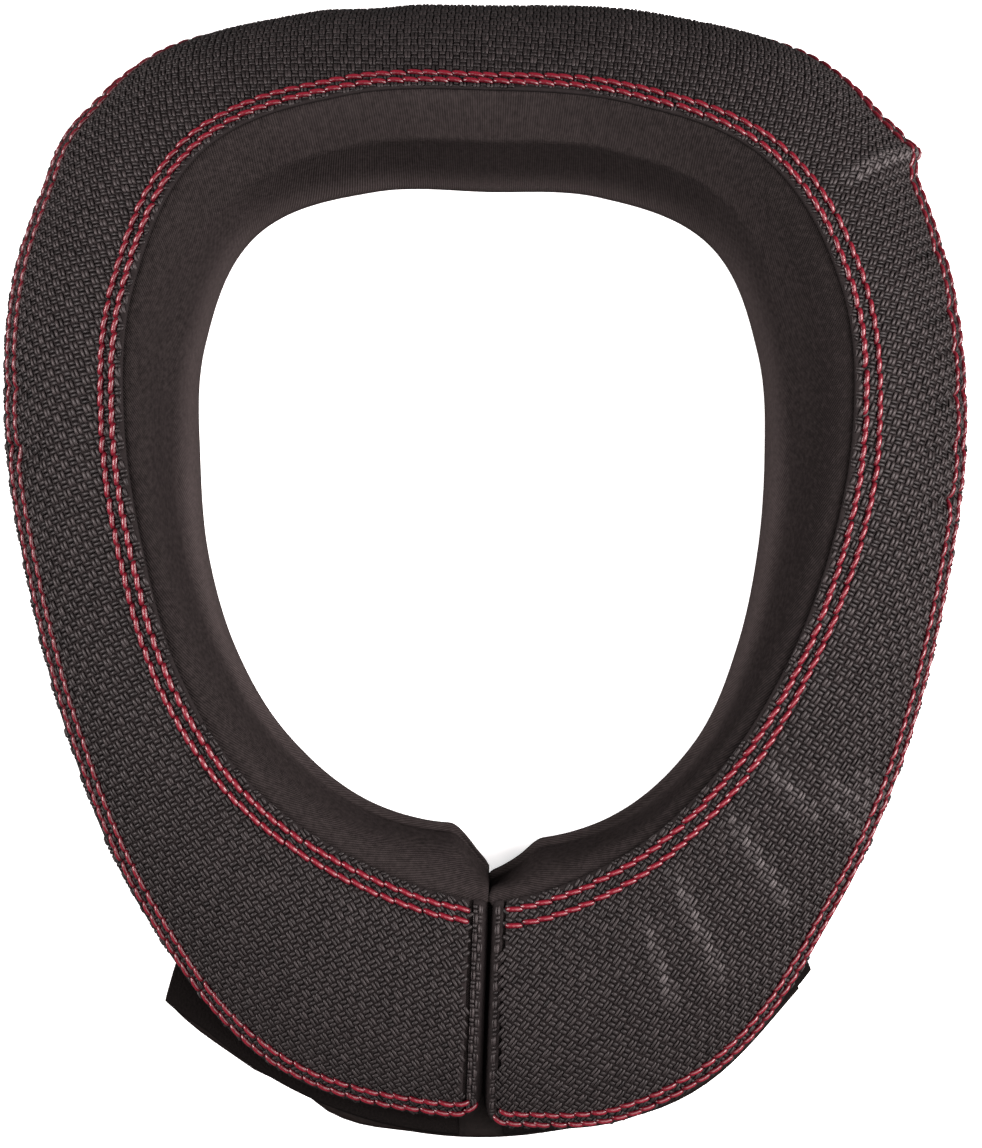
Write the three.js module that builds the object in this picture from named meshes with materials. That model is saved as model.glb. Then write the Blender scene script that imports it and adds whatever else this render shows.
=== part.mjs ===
// Protective neck collar: a padded ring, split at the front, worn around the neck by riders.
// A foam body in smooth knit carries a coarse woven cover on its top and outer face, and a
// hook-and-loop strap under the front joins its two ends.
// Millimetres, +Z up, the split towards -Y. It lies on its underside, at z = 0.
// Left is -X and right is +X, as seen from above with the split nearest.

import * as THREE from "three";
import { mergeVertices } from "three/addons/utils/BufferGeometryUtils.js";

// Driving dimensions

const CENTRE_Y = 16; // the section planes all meet on a vertical line at this y
const CREST = { side: 42, rise: 12 }; // height at the sides; the back has this much more, the front less
const HEM = { height: 9, lift: 0.3 }; // the cover's lower edge, and its share of the lift off the strap
const COVER = { thickness: 1.6, gap: 0.3, overlap: 3, backOverlap: 1.8 }; // inner edge to first stitch row
// The two end faces that meet at the front: their x, how far they lean to the left for each millimetre
// outside the radius "from", and how fast the shift to each and the lean die out round the ring
const SPLIT = { left: 0.5, right: 0.95, from: 107, lean: 0.035, fade: 11, leanFade: 40 };
const ARM = { length: 128, fade: 400 }; // near an end, sections stand parallel to its face, as at this radius
const CORNER = { outer: 8, crest: 2.5 }; // roundings of the two ends
// The neck opening widens to a notch at the split: how deep it cuts into each half, over what distance from
// the pad's end, and how hollow its edge is
const NOTCH = {
  left: { depth: 9.6, width: 6.2, power: 1.4 },
  right: { depth: 8.8, width: 12.5, power: 1.15 },
};
// The roll along the neck opening: its width round the ring, the heights of its bulge and of the crease
// above it as shares of the crest, and where the flat underside starts
const RIM = { side: 6, front: 3, back: 7.2, height: 0.24, under: 6 };
const CREASE = { front: 0.5, back: 0.85 };
// Handles of the roll's upper curve, which is a ledge at the sides and falls steeply at the front and back,
// and of its lower curve to the underside
const ROLL = { fold: 0.85, sideFold: 0.45, drop: 0.35, sideDrop: 0.03, rise: 5, backRise: 2 };
const FOOT = { rise: 3, reach: 2 };
// The outer edge below the hem: how far in the flat underside ends, and the handles of the curve between
const EDGE = { under: 11, flat: 3, tuck: 75, reach: 3.5 };
const STRAP = { thickness: 1.8, outer: 113.4, inner: 75, centreX: -1.7, centreY: -42.8 };
const PATCH = { thickness: 1.5, outer: 112.8, inner: 76 };
const STACK_GAP = 0.3; // between the strap, the patches and the pad above them
const FRONT = 270; // heading of the front in plan, in degrees

// The ring's plan: radii from the centre line at each turn, in degrees from the front round by the left.
// outer is the hem of the cover, seam its first row of stitches, inner the edge of the neck opening.
const SECTIONS = [
  { turn: 0, outer: 168, seam: 112, inner: 87 },
  { turn: 20, outer: 164, seam: 107, inner: 87.5 },
  { turn: 40, outer: 146, seam: 103.4, inner: 83.5 },
  { turn: 60, outer: 132, seam: 99, inner: 79.2 },
  { turn: 80, outer: 128.2, seam: 97, inner: 77.5 },
  { turn: 100, outer: 135.2, seam: 102.1, inner: 80 },
  { turn: 120, outer: 148.3, seam: 112.5, inner: 89.5 },
  { turn: 140, outer: 157.2, seam: 121.4, inner: 98.5 },
  { turn: 160, outer: 146.5, seam: 115, inner: 92.9 },
  { turn: 180, outer: 139.5, seam: 109.6, inner: 87.4 },
  { turn: 200, outer: 146, seam: 112.9, inner: 91.3 },
  { turn: 220, outer: 155.6, seam: 118.6, inner: 94.9 },
  { turn: 240, outer: 145.2, seam: 112.6, inner: 85.7 },
  { turn: 260, outer: 134.2, seam: 102.9, inner: 77.2 },
  { turn: 280, outer: 128.4, seam: 96.6, inner: 75 },
  { turn: 300, outer: 132.8, seam: 95.6, inner: 78.4 },
  { turn: 320, outer: 146.3, seam: 99.4, inner: 86 },
  { turn: 340, outer: 168.5, seam: 106.2, inner: 91.5 },
  { turn: 360, outer: 170, seam: 112.2, inner: 91.5 },
];

// Folds and dimples of the woven cover: where, how wide before and after, and how far the hem moves out.
const FOLDS = [
  { turn: 131, before: 6, after: 6, rise: 1.5 }, // bulge at the left corner of the back
  { turn: 167, before: 6, after: 6, rise: -1 }, // dimple at the back
  { turn: 230, before: 6, after: 3, rise: 2.8 }, // kink at the right corner of the back
  { turn: 349, before: 9, after: 9, rise: 1.8 }, // fuller hem beside the right end
];
// The outer edges of the strap and of the left patch move in and out in the same way, at turns about the
// strap's own centre.
const STRAP_WAVES = [
  { turn: -29, before: 20, after: 20, rise: 3.2 },
  { turn: 18, before: 9, after: 9, rise: 1.3 },
  { turn: 27, before: 6, after: 6, rise: -1.6 },
  { turn: 47, before: 12, after: 12, rise: 1.4 },
];
const PATCH_WAVES = [{ turn: 49, before: 9, after: 9, rise: 2.3 }];

// Shape of the cover's bulge: its slope against the straight line from seam to hem, in degrees.
const BULGE = { atSeam: 20, atHem: 30, handle: 0.35 };
// How steeply the knit face falls to the crease, and how far it dips at the back as it leaves the cover,
// in degrees
const SLOPE = { fall: 64, backFall: 38, dip: 45, handle: 0.4 };
const LIFT = { full: 46, none: 68 }; // turns between which the pad comes down off the strap

// The layers at an end, in degrees from its face: the facing's wall, where its lap over the top starts and
// how far it goes on each side, where the cover starts behind each lap, and where the pad starts behind it
const END = { wall: 0.7, lap: 0.8, lapLeft: 1.85, lapRight: 1.6, coverLeft: 2.05, coverRight: 1.8, pad: 0.9 };
const WALL = { foot: 2, inset: 5.5 }; // a facing's wall: its foot above the underside, and in from the hem

// Steps of the meshes
const TURN_STEP = 5;
const END_STEPS = [2.3, 3.2, 4]; // extra turns near each end, where it is rounded
const STEPS = { edge: 4, cover: 8, slope: 6, roll: 5, foot: 3, arc: 22 };

// Small helpers

const { degToRad: radians, lerp, smoothstep } = THREE.MathUtils;
const point = (r, z) => new THREE.Vector2(r, z);
const heading = (angle) => new THREE.Vector2(Math.cos(angle), Math.sin(angle));
const ahead = (from, angle, distance) => from.clone().addScaledVector(heading(angle), distance);

// Points along a cubic curve, without its first one
function curvePoints(start, startHandle, endHandle, end, steps) {
  return new THREE.CubicBezierCurve(start, startHandle, endHandle, end).getPoints(steps).slice(1);
}

// A column of SECTIONS at any turn: a cubic through the rows whose slope at a row joins its neighbours
function column(name, turn) {
  const last = SECTIONS.length - 1;
  const step = SECTIONS[1].turn;
  const row = Math.min(Math.floor(turn / step), last - 1);
  const u = turn / step - row;
  const value = (i) => SECTIONS[THREE.MathUtils.clamp(i, 0, last)][name];
  const slope = (i) => (value(i + 1) - value(i - 1)) / (i === 0 || i === last ? 1 : 2);
  const u2 = u * u;
  const u3 = u2 * u;
  return (
    value(row) * (2 * u3 - 3 * u2 + 1) +
    slope(row) * (u3 - 2 * u2 + u) +
    value(row + 1) * (3 * u2 - 2 * u3) +
    slope(row + 1) * (u3 - u2)
  );
}

// How far a quarter-round corner falls back at a distance from its end
function corner(distance, radius) {
  const left = Math.max(radius - distance, 0);
  return radius - Math.sqrt(radius * radius - left * left);
}

// How far an edge moves out at a turn, for a table of folds
function foldsAt(folds, turn) {
  return folds.reduce((sum, { turn: middle, before, after, rise }) => {
    const away = Math.min(Math.abs(turn - middle) / (turn < middle ? before : after), 1);
    return sum + rise * 0.5 * (1 + Math.cos(Math.PI * away));
  }, 0);
}

// All the sizes of the ring's section at one turn. side is 1 at the sides of the ring and back 1 at its back.
function sectionAt(turn) {
  const cosine = Math.cos(radians(turn));
  const back = Math.max(-cosine, 0);
  const fromFront = Math.min(turn, 360 - turn);
  const notch = turn < 180 ? NOTCH.left : NOTCH.right;
  const outer = column("outer", turn);
  const inner = column("inner", turn);
  const fromEnd = radians(fromFront) * 0.5 * (outer + inner);
  const fromPadEnd = Math.max(fromEnd - radians(END.pad) * ARM.length, 0);
  const stack = STRAP.thickness + PATCH.thickness + 2 * STACK_GAP;
  return {
    outer: outer + foldsAt(FOLDS, turn) - corner(fromEnd, CORNER.outer),
    seam: column("seam", turn),
    inner: inner + notch.depth * Math.max(1 - fromPadEnd / notch.width, 0) ** notch.power,
    crest: CREST.side - CREST.rise * cosine - corner(fromEnd, CORNER.crest),
    overlap: lerp(COVER.overlap, COVER.backOverlap, back),
    rim: lerp(RIM.side, cosine > 0 ? RIM.front : RIM.back, Math.abs(cosine)),
    lift: stack * (1 - smoothstep(fromFront, LIFT.full, LIFT.none)),
    side: 1 - cosine ** 2,
    back,
  };
}

// The cover's top face in a section, from its inner edge out and down to the hem
function coverCurve(section) {
  const start = point(section.seam - section.overlap, section.crest);
  const end = point(section.outer, HEM.height + HEM.lift * section.lift);
  const across = end.clone().sub(start);
  const reach = BULGE.handle * across.length();
  const startHandle = ahead(start, across.angle() + radians(BULGE.atSeam), reach);
  const endHandle = ahead(end, across.angle() - radians(BULGE.atHem), -reach);
  return new THREE.CubicBezierCurve(start, startHandle, endHandle, end);
}

// Points that run along the cover's top face, a given depth below it
function belowCover(section, depth) {
  const curve = coverCurve(section);
  return Array.from({ length: STEPS.cover + 1 }, (_, i) => {
    const along = curve.getTangent(i / STEPS.cover);
    return curve.getPoint(i / STEPS.cover).add(point(along.y, -along.x).multiplyScalar(depth));
  });
}

// The pad's closed outline in a section, anticlockwise: underside, outer edge, the dome under the cover,
// the slope down to the crease, and the rim round the neck opening
function padOutline(section) {
  const { outer, inner, crest, rim, lift, side, back } = section;
  const dome = belowCover(section, COVER.thickness + COVER.gap).reverse();
  const hem = dome[0];
  const top = dome[dome.length - 1];
  const heel = point(inner + RIM.under, lift);
  const toe = point(outer - EDGE.under, lift);
  const bulge = point(inner, lift + RIM.height * crest);
  const crease = point(inner + rim, lerp(CREASE.front, CREASE.back, back) * crest);
  const reach = SLOPE.handle * top.distanceTo(crease);
  const inwards = coverCurve(section).getTangent(0).angle() + Math.PI;
  const topHandle = ahead(top, inwards + radians(SLOPE.dip) * back, reach);
  const creaseHandle = ahead(crease, radians(lerp(SLOPE.fall, SLOPE.backFall, back)), reach);
  const hemHandle = ahead(hem, radians(-EDGE.tuck), EDGE.reach);
  const drop = lerp(ROLL.drop, ROLL.sideDrop, side) * crease.y;
  const rollHandle = point(inner + lerp(ROLL.fold, ROLL.sideFold, side) * rim, crease.y - drop);
  const bulgeHandle = point(inner, bulge.y + lerp(ROLL.rise, ROLL.backRise, back));
  const footHandle = point(inner, lift + FOOT.rise);
  return [
    heel,
    toe,
    ...curvePoints(toe, point(outer - EDGE.flat, lift), hemHandle, hem, STEPS.edge),
    ...dome.slice(1),
    ...curvePoints(top, topHandle, creaseHandle, crease, STEPS.slope),
    ...curvePoints(crease, rollHandle, bulgeHandle, bulge, STEPS.roll),
    ...curvePoints(bulge, footHandle, point(inner + FOOT.reach, lift), heel, STEPS.foot).slice(0, -1),
  ];
}

// The cover's closed outline in a section: its inner face out to the hem, then its top face back
function coverOutline(section) {
  return [...belowCover(section, COVER.thickness), ...belowCover(section, 0).reverse()];
}

// The facing's closed outline in a section, where it stands as a wall: its foot, then its top face back
function wallOutline(section) {
  const top = belowCover(section, 0);
  const foot = section.lift + WALL.foot;
  const feet = top.map((p) => point(Math.min(p.x, section.outer - WALL.inset), foot));
  return [...feet, ...top.reverse()];
}

// Where a section's point stands. Each half moves to its own leaning end face at the front, and not at all
// at the back.
function place(turn, { x: r, y: z }) {
  const angle = radians(turn);
  const nearness = Math.abs(Math.cos(angle / 2));
  const face = (turn < 180 ? SPLIT.left : SPLIT.right) * nearness ** SPLIT.fade;
  const lean = SPLIT.lean * Math.max(r - SPLIT.from, 0) * nearness ** SPLIT.leanFade;
  const arm = lerp(r, ARM.length, nearness ** ARM.fade);
  return [face - lean - arm * Math.sin(angle), CENTRE_Y - r * Math.cos(angle), z];
}

// The turns at which sections of the ring are taken, closer together near its two ends
function ringTurns(start, end) {
  const round = Array.from({ length: 360 / TURN_STEP - 1 }, (_, i) => (i + 1) * TURN_STEP);
  return [start, ...END_STEPS, ...round, ...END_STEPS.map((step) => 360 - step).reverse(), 360 - end];
}

// A closed solid through the outlines at increasing turns, with flat ends. outlineOf gives the outline of a
// section, or there is one such function for each turn.
function loft(stations, outlineOf) {
  const outlines = stations.map((turn, i) => (outlineOf[i] ?? outlineOf)(sectionAt(turn)));
  const count = outlines[0].length;
  const positions = outlines.flatMap((outline, i) => outline.flatMap((p) => place(stations[i], p)));
  const index = [];
  for (let i = 0; i + 1 < stations.length; i += 1) {
    for (let j = 0; j < count; j += 1) {
      const a = i * count + j;
      const b = i * count + ((j + 1) % count);
      index.push(a, b, a + count, b, b + count, a + count);
    }
  }
  const lastStart = (stations.length - 1) * count;
  for (const [a, b, c] of THREE.ShapeUtils.triangulateShape(outlines[0], [])) index.push(a, c, b);
  for (const face of THREE.ShapeUtils.triangulateShape(outlines[outlines.length - 1], [])) {
    index.push(...face.map((i) => lastStart + i));
  }
  const geometry = new THREE.BufferGeometry();
  geometry.setAttribute("position", new THREE.Float32BufferAttribute(positions, 3));
  geometry.setIndex(index);
  return geometry;
}

// A flat crescent about the strap's centre, between the turns from and to (positive to the left) on its
// outer edge and innerFrom and innerTo on its inner edge. Waves move its outer edge in and out.
function crescent({ outer, inner, thickness }, { from, to, innerFrom, innerTo }, waves = []) {
  const centre = point(STRAP.centreX, STRAP.centreY);
  const edge = (start, end, radiusAt) =>
    Array.from({ length: STEPS.arc + 1 }, (_, i) => {
      const turn = lerp(start, end, i / STEPS.arc);
      return ahead(centre, radians(FRONT - turn), radiusAt(turn));
    });
  const shape = new THREE.Shape([
    ...edge(from, to, (turn) => outer + foldsAt(waves, turn)),
    ...edge(innerTo, innerFrom, () => inner),
  ]);
  return new THREE.ExtrudeGeometry(shape, { depth: thickness, bevelEnabled: false });
}

// Materials

const cloth = (color, roughness) => new THREE.MeshStandardMaterial({ color, roughness, metalness: 0 });
const knit = cloth(0x2a2626, 0.75);
const woven = cloth(0x2e2b2c, 0.8);
const loopFabric = cloth(0x19181a, 0.9);
const hookTape = cloth(0x141416, 0.7);

// The assembly

const collar = new THREE.Group();

function add(name, geometry, material, height = 0) {
  for (const extra of ["normal", "uv"]) geometry.deleteAttribute(extra);
  const mesh = new THREE.Mesh(mergeVertices(geometry, 1e-4), material);
  mesh.name = name;
  mesh.position.z = height;
  collar.add(mesh);
}

add("neck_pad", loft(ringTurns(END.pad, END.pad), padOutline), knit);
add("top_cover", loft(ringTurns(END.coverLeft, END.coverRight), coverOutline), woven);

// Each facing is a wall that laps over the top.
const facingTurns = (lap) => [0, END.wall / 2, END.wall, END.lap, lap];
const facingLayers = [wallOutline, wallOutline, wallOutline, coverOutline, coverOutline];
const rightTurns = facingTurns(END.lapRight).map((turn) => 360 - turn);
add("end_panel_left", loft(facingTurns(END.lapLeft), facingLayers), woven);
add("end_panel_right", loft(rightTurns.reverse(), facingLayers.toReversed()), woven);

const patchHeight = STRAP.thickness + STACK_GAP;
const leftPatch = { from: 3, to: 48.5, innerFrom: 5, innerTo: 72 };
const rightPatch = { from: -53, to: -3, innerFrom: -74, innerTo: -5 };
const strapEnds = { from: -50, to: 46.5, innerFrom: -62, innerTo: 59 };
add("loop_patch_left", crescent(PATCH, leftPatch, PATCH_WAVES), loopFabric, patchHeight);
add("loop_patch_right", crescent(PATCH, rightPatch), loopFabric, patchHeight);
add("closure_strap", crescent(STRAP, strapEnds, STRAP_WAVES), hookTape);

export default collar;
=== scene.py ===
"""Protective neck collar lying on its underside, seen from above: a padded ring that is split at the front,
with smooth knit round the neck, a coarse woven cover with red twin stitching on its top and outer face,
and a hook-and-loop strap under the front. Metres, +Z up, the split towards -Y."""

from types import SimpleNamespace

import bpy
import numpy as np
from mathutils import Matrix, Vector


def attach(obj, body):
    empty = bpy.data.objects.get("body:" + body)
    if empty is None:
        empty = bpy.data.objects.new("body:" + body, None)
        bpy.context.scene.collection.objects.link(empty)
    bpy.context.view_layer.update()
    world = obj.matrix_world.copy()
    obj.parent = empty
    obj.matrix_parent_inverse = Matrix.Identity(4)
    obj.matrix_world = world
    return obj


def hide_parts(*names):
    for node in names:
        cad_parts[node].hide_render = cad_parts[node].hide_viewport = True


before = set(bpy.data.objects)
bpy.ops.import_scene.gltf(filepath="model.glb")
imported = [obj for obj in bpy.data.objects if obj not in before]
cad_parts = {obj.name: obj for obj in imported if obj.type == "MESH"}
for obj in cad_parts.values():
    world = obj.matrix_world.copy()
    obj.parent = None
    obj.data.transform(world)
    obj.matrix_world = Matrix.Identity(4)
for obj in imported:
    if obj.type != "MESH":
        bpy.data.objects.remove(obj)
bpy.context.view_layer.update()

# Camera
# The photo is taken from almost straight above, a little from the front, with a long lens.

LOOK_AT = np.array([0.0010, -0.0039, 0.020])
ELEVATION = np.radians(84)
DISTANCE = 1.3
SENSOR_MM = 36
LENS_MM = 175.4

lens = bpy.data.cameras.new("photo_camera")
lens.sensor_fit = "HORIZONTAL"
lens.sensor_width = SENSOR_MM
lens.lens = LENS_MM
camera = bpy.data.objects.new("photo_camera", lens)
camera.location = LOOK_AT + DISTANCE * np.array([0, -np.cos(ELEVATION), np.sin(ELEVATION)])
camera.rotation_euler = (np.pi / 2 - ELEVATION, 0, 0)
bpy.context.scene.collection.objects.link(camera)
bpy.context.scene.camera = camera

# Neck pad
# The ring that lies round the neck: soft foam with smooth stretch knit pulled tight over it. The knit falls
# from the edge of the woven cover into the neck opening, and rolls under along a soft rim.
# All sizes of the ring are in millimetres, at turns in degrees from the front round by the left.

MM = 0.001
CENTRE_Y = 16
ROW_STEP = 20
RING_PLAN = {
    "outer": [168, 164, 146, 132, 128.2, 135.2, 148.3, 157.2, 146.5, 139.5]
    + [146, 155.6, 145.2, 134.2, 128.4, 132.8, 146.3, 168.5, 170],
    "seam": [112, 107, 103.4, 99, 97, 102.1, 112.5, 121.4, 115, 109.6]
    + [112.9, 118.6, 112.6, 102.9, 96.6, 95.6, 99.4, 106.2, 112.2],
    "inner": [87, 87.5, 83.5, 79.2, 77.5, 80, 89.5, 98.5, 92.9, 87.4]
    + [91.3, 94.9, 85.7, 77.2, 75, 78.4, 86, 91.5, 91.5],
}
HEM_FOLDS = [
    {"turn": 131, "before": 6, "after": 6, "rise": 1.5},
    {"turn": 167, "before": 6, "after": 6, "rise": -1.0},
    {"turn": 230, "before": 6, "after": 3, "rise": 2.8},
    {"turn": 349, "before": 9, "after": 9, "rise": 1.8},
]
NOTCH_LEFT = {"depth": 12.6, "width": 7.6, "power": 1.4}  # where the neck opening widens to the split
NOTCH_RIGHT = {"depth": 9.4, "width": 13.2, "power": 1.15}
NOTCH_BLUR = np.linspace(-2.8, 2.8, 7)
CREST = {"front": 30, "back": 54}  # height of the ring's top
OVERLAP = {"front": 3, "back": 1.8}  # how far the cover reaches in past its seam
RIM = {"front": 3, "side": 6, "back": 7.2}  # width of the soft rim that the knit rolls over
HEM_HEIGHT = 9
HEM_LIFT = 0.3  # the share of the strap's lift that the hem takes up
STACK = 3.9  # strap, patch and their gaps, which lift the front of the pad
LIFT_FADE = (46, 68)  # degrees from the front between which the pad comes down to the floor
CORNER_ROUND = 8  # of the outline at the split, seen from above
CREST_ROUND = 2.5  # of the top at the split, seen from the front
COVER_THICK = 1.6
COVER_GAP = 0.3
PAD_END = 0.9  # degrees from the end face to the pad behind the facing
END_ARM = 128  # near the ends, a turn is a distance from the end face at this radius
PAD_END_GAP = np.radians(PAD_END) * END_ARM
END_ROUND = 1.4  # rounding of the pad's two ends


def smooth_step(value, start, end):
    """0 before start, 1 after end, and a smooth cubic between them."""
    t = np.clip((value - start) / (end - start), 0, 1)
    return t * t * (3 - 2 * t)


def plan_radius(name, turn):
    """A cubic through the rows of one column of the plan, whose slope at a row joins its neighbours."""
    values = np.array(RING_PLAN[name], float)
    slopes = np.gradient(values)
    row = np.clip(turn / ROW_STEP, 0, len(values) - 2).astype(int)
    u = turn / ROW_STEP - row
    start = values[row] * (2 * u**3 - 3 * u**2 + 1) + slopes[row] * (u**3 - 2 * u**2 + u)
    return start + values[row + 1] * (3 * u**2 - 2 * u**3) + slopes[row + 1] * (u**3 - u**2)


def corner_fall(distance, radius):
    """How far a quarter-round corner falls back at a distance from its end."""
    left = np.maximum(radius - distance, 0)
    return radius - np.sqrt(radius**2 - left**2)


def fold_shift(folds, turn):
    """How far an edge moves out at each turn: half a wave before the middle of each fold, and half after."""
    shift = np.zeros_like(turn)
    for fold in folds:
        half = np.where(turn < fold["turn"], fold["before"], fold["after"])
        away = np.minimum(np.abs(turn - fold["turn"]) / half, 1)
        shift += fold["rise"] * 0.5 * (1 + np.cos(np.pi * away))
    return shift


def notch_cut(notch, distance):
    """How far a notch cuts into an edge at a distance from its deepest point: a power of the share of its
    width that is left, averaged over a short stretch so that its far end is soft."""
    near = [np.clip(1 - (distance + offset) / notch["width"], 0, 1) for offset in NOTCH_BLUR]
    return notch["depth"] * np.mean(np.power(near, notch["power"]), axis=0)


def ring_section(turn):
    """The sizes of the ring's section at each turn: the plan's radii with their folds and rounded ends, the
    height of the crest, the rim's width and crease, and how far the strap lifts the underside."""
    cosine = np.cos(np.radians(turn))
    from_front = np.minimum(turn, 360 - turn)
    outer, seam, inner = (plan_radius(name, turn) for name in ("outer", "seam", "inner"))
    from_end = np.radians(from_front) * 0.5 * (outer + inner)
    from_pad = np.maximum(from_end - PAD_END_GAP, 0)
    notch = np.where(turn < 180, notch_cut(NOTCH_LEFT, from_pad), notch_cut(NOTCH_RIGHT, from_pad))
    front, back = np.maximum(cosine, 0), np.maximum(-cosine, 0)
    crest = 0.5 * (CREST["front"] + CREST["back"]) - 0.5 * (CREST["back"] - CREST["front"]) * cosine
    return SimpleNamespace(
        outer=outer + fold_shift(HEM_FOLDS, turn) - corner_fall(from_end, CORNER_ROUND),
        seam=seam,
        inner=inner + notch,
        crest=crest - corner_fall(from_end, CREST_ROUND),
        overlap=OVERLAP["front"] - (OVERLAP["front"] - OVERLAP["back"]) * back,
        rim=RIM["side"] - (RIM["side"] - RIM["front"]) * front + (RIM["back"] - RIM["side"]) * back,
        lift=STACK * (1 - smooth_step(from_front, *LIFT_FADE)),
        back=back,
        side=1 - cosine**2,
    )


def pair(r, z):
    """Points of a section: radius and height."""
    return np.stack(np.broadcast_arrays(r, z), axis=-1).astype(float)


def heading(angle):
    """Unit steps at each angle in a section."""
    return pair(np.cos(angle), np.sin(angle))


def curve_points(start, start_handle, end_handle, end, share):
    """Points of a cubic curve in each section, at each share of the way along it."""
    t = share[:, None]
    first = (1 - t) ** 3 * start[:, None] + 3 * t * (1 - t) ** 2 * start_handle[:, None]
    return first + 3 * t**2 * (1 - t) * end_handle[:, None] + t**3 * end[:, None]


COVER_CROWN = {"crest": np.radians(20), "hem": np.radians(30)}
COVER_REACH = 0.35


def cover_handles(ring):
    """The curve of the cover's top face in each section, from its inner edge on the crest out and down to the
    hem: at each end it leaves the straight line between them by the crown's angle there."""
    start = pair(ring.seam - ring.overlap, ring.crest)
    end = pair(ring.outer, HEM_HEIGHT + HEM_LIFT * ring.lift)
    across = end - start
    angle = np.arctan2(across[:, 1], across[:, 0])
    reach = COVER_REACH * np.linalg.norm(across, axis=1)[:, None]
    start_handle = start + reach * heading(angle + COVER_CROWN["crest"])
    return start, start_handle, end - reach * heading(angle - COVER_CROWN["hem"]), end


def below_cover(ring, share, depth):
    """Points that run along the cover's top face at a depth below it, and that face's slope at its start."""
    start, start_handle, end_handle, end = cover_handles(ring)
    t = share[:, None]
    along = (1 - t) ** 2 * (start_handle - start)[:, None] + t**2 * (end - end_handle)[:, None]
    along = along + 2 * t * (1 - t) * (end_handle - start_handle)[:, None]
    along /= np.linalg.norm(along, axis=-1, keepdims=True)
    inward = np.stack([along[..., 1], -along[..., 0]], axis=-1)
    first = np.arctan2(along[:, 0, 1], along[:, 0, 0])
    return curve_points(start, start_handle, end_handle, end, share) + depth * inward, first


FACE_LEFT = 0.5  # where the two end faces stand, to the right of the middle
FACE_RIGHT = 0.95
FACE_LEAN = 0.035  # and how far they run to the left for each millimetre past a radius
LEAN_FROM = 107
FADE = {"face": 11, "lean": 40, "arm": 400}  # powers with which these fade away from the front


def stand(turn, section_points):
    """Points of sections in space: turned round the ring's centre, with each half moved to its own leaning
    end face at the front, and sections near an end parallel to its face."""
    r, z = section_points[..., 0], section_points[..., 1]
    angle = np.radians(turn)
    near = np.abs(np.cos(angle / 2))
    face = np.where(turn < 180, FACE_LEFT, FACE_RIGHT) * near ** FADE["face"]
    face = face - FACE_LEAN * np.maximum(r - LEAN_FROM, 0) * near ** FADE["lean"]
    arm = r + (END_ARM - r) * near ** FADE["arm"]
    return np.stack([face - arm * np.sin(angle), CENTRE_Y - r * np.cos(angle), z], axis=-1)


HEEL_IN = 6  # from the rim to where the underside lies flat
TOE_IN = 11  # and from the hem
BULGE_UP = 0.24  # height of the rim's widest point, as a share of the crest's
CREASE_UP = {"side": 0.5, "back": 0.85}  # height of the crease above the rim, as shares of the crest's
FALL_REACH = 0.4
FALL_STEEPER = np.radians(45)  # at the back, where the knit leaves the crest
CREASE_SLOPE = {"side": 64, "back": -26}  # in degrees, where it comes into the crease; the back's is added
RIM_DROP = {"ends": 0.35, "side": -0.32}  # fall past the crease, as shares of its height
RIM_OUT = {"ends": 0.85, "side": -0.4}  # and how far out it is then, as shares of the rim's width
BULGE_TALL = {"side": 5, "back": -3}
HEM_ROLL = 3.5
HEM_SLOPE = np.radians(-75)
TOE_ROLL = 3
FOOT_ROLL = 3
HEEL_ROLL = 2


def pad_outline(ring):
    """The pad's closed outline in each section, anticlockwise: the flat underside, the outer edge, the dome
    under the cover, the fall to the crease, the rim and the roll under it. Also says where the fall and the
    rim start."""
    dome, first_slope = below_cover(ring, np.linspace(0, 1, 25), COVER_THICK + COVER_GAP)
    hem, top = dome[:, -1], dome[:, 0]
    heel = pair(ring.inner + HEEL_IN, ring.lift)
    toe = pair(ring.outer - TOE_IN, ring.lift)
    bulge = pair(ring.inner, ring.lift + BULGE_UP * ring.crest)
    crease_up = CREASE_UP["side"] + (CREASE_UP["back"] - CREASE_UP["side"]) * ring.back
    crease = pair(ring.inner + ring.rim, crease_up * ring.crest)
    reach = FALL_REACH * np.linalg.norm(top - crease, axis=1)[:, None]
    top_handle = top + reach * heading(first_slope + np.pi + FALL_STEEPER * ring.back)
    slope = np.radians(CREASE_SLOPE["side"] + CREASE_SLOPE["back"] * ring.back)
    crease_handle = crease + reach * heading(slope)
    drop = crease[:, 1] * (RIM_DROP["ends"] + RIM_DROP["side"] * ring.side)
    out = (RIM_OUT["ends"] + RIM_OUT["side"] * ring.side) * ring.rim
    rim_handle = pair(ring.inner + out, crease[:, 1] - drop)
    hem_handle = hem + HEM_ROLL * heading(HEM_SLOPE)
    tall = bulge[:, 1] + BULGE_TALL["side"] + BULGE_TALL["back"] * ring.back
    bulge_handle = pair(ring.inner, tall)
    foot_handle = pair(ring.inner, ring.lift + FOOT_ROLL)
    heel_handle, toe_handle = heel * 0.67 + toe * 0.33, heel * 0.33 + toe * 0.67
    share = {count: np.linspace(0, 1, count)[:-1] for count in (8, 9, 11, 15, 23)}
    parts = [
        curve_points(heel, heel_handle, toe_handle, toe, share[11]),
        curve_points(toe, pair(ring.outer - TOE_ROLL, ring.lift), hem_handle, hem, share[9]),
        dome[:, :0:-1],
        curve_points(top, top_handle, crease_handle, crease, share[23]),
        curve_points(crease, rim_handle, bulge_handle, bulge, share[15]),
        curve_points(bulge, foot_handle, pair(ring.inner + HEEL_ROLL, ring.lift), heel, share[8]),
    ]
    starts = np.cumsum([part.shape[1] for part in parts])
    return np.concatenate(parts, axis=1), starts[2], starts[3]


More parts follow.
